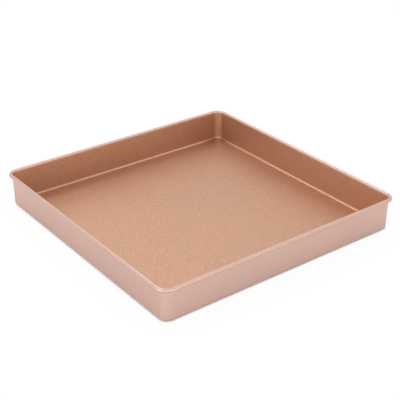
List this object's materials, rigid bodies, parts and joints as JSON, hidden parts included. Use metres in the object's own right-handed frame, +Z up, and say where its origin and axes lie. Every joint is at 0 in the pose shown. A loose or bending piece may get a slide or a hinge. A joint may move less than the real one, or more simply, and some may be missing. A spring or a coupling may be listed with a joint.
{
  "type": "square baking pan",
  "caption": "Shallow square baking pan of coated sheet steel, with straight walls, rounded corners and a rim rolled round a wire.",
  "frame": {"origin": "centre of the floor's underside, on the surface that the pan stands on", "axes": "+Z up, out of the open top; X and Y square to the walls, and the pan is the same along both"},
  "size_m": [0.29, 0.29, 0.036],
  "materials": {
    "coated_sheet": "satin rose-gold non-stick coating with a fine metallic grain, on drawn steel sheet, inside and outside",
    "steel_wire": "bare drawn steel wire"
  },
  "bodies": {
    "root": {"pan_shell": "coated_sheet", "rim_wire": "steel_wire"}
  },
  "joints": []
}
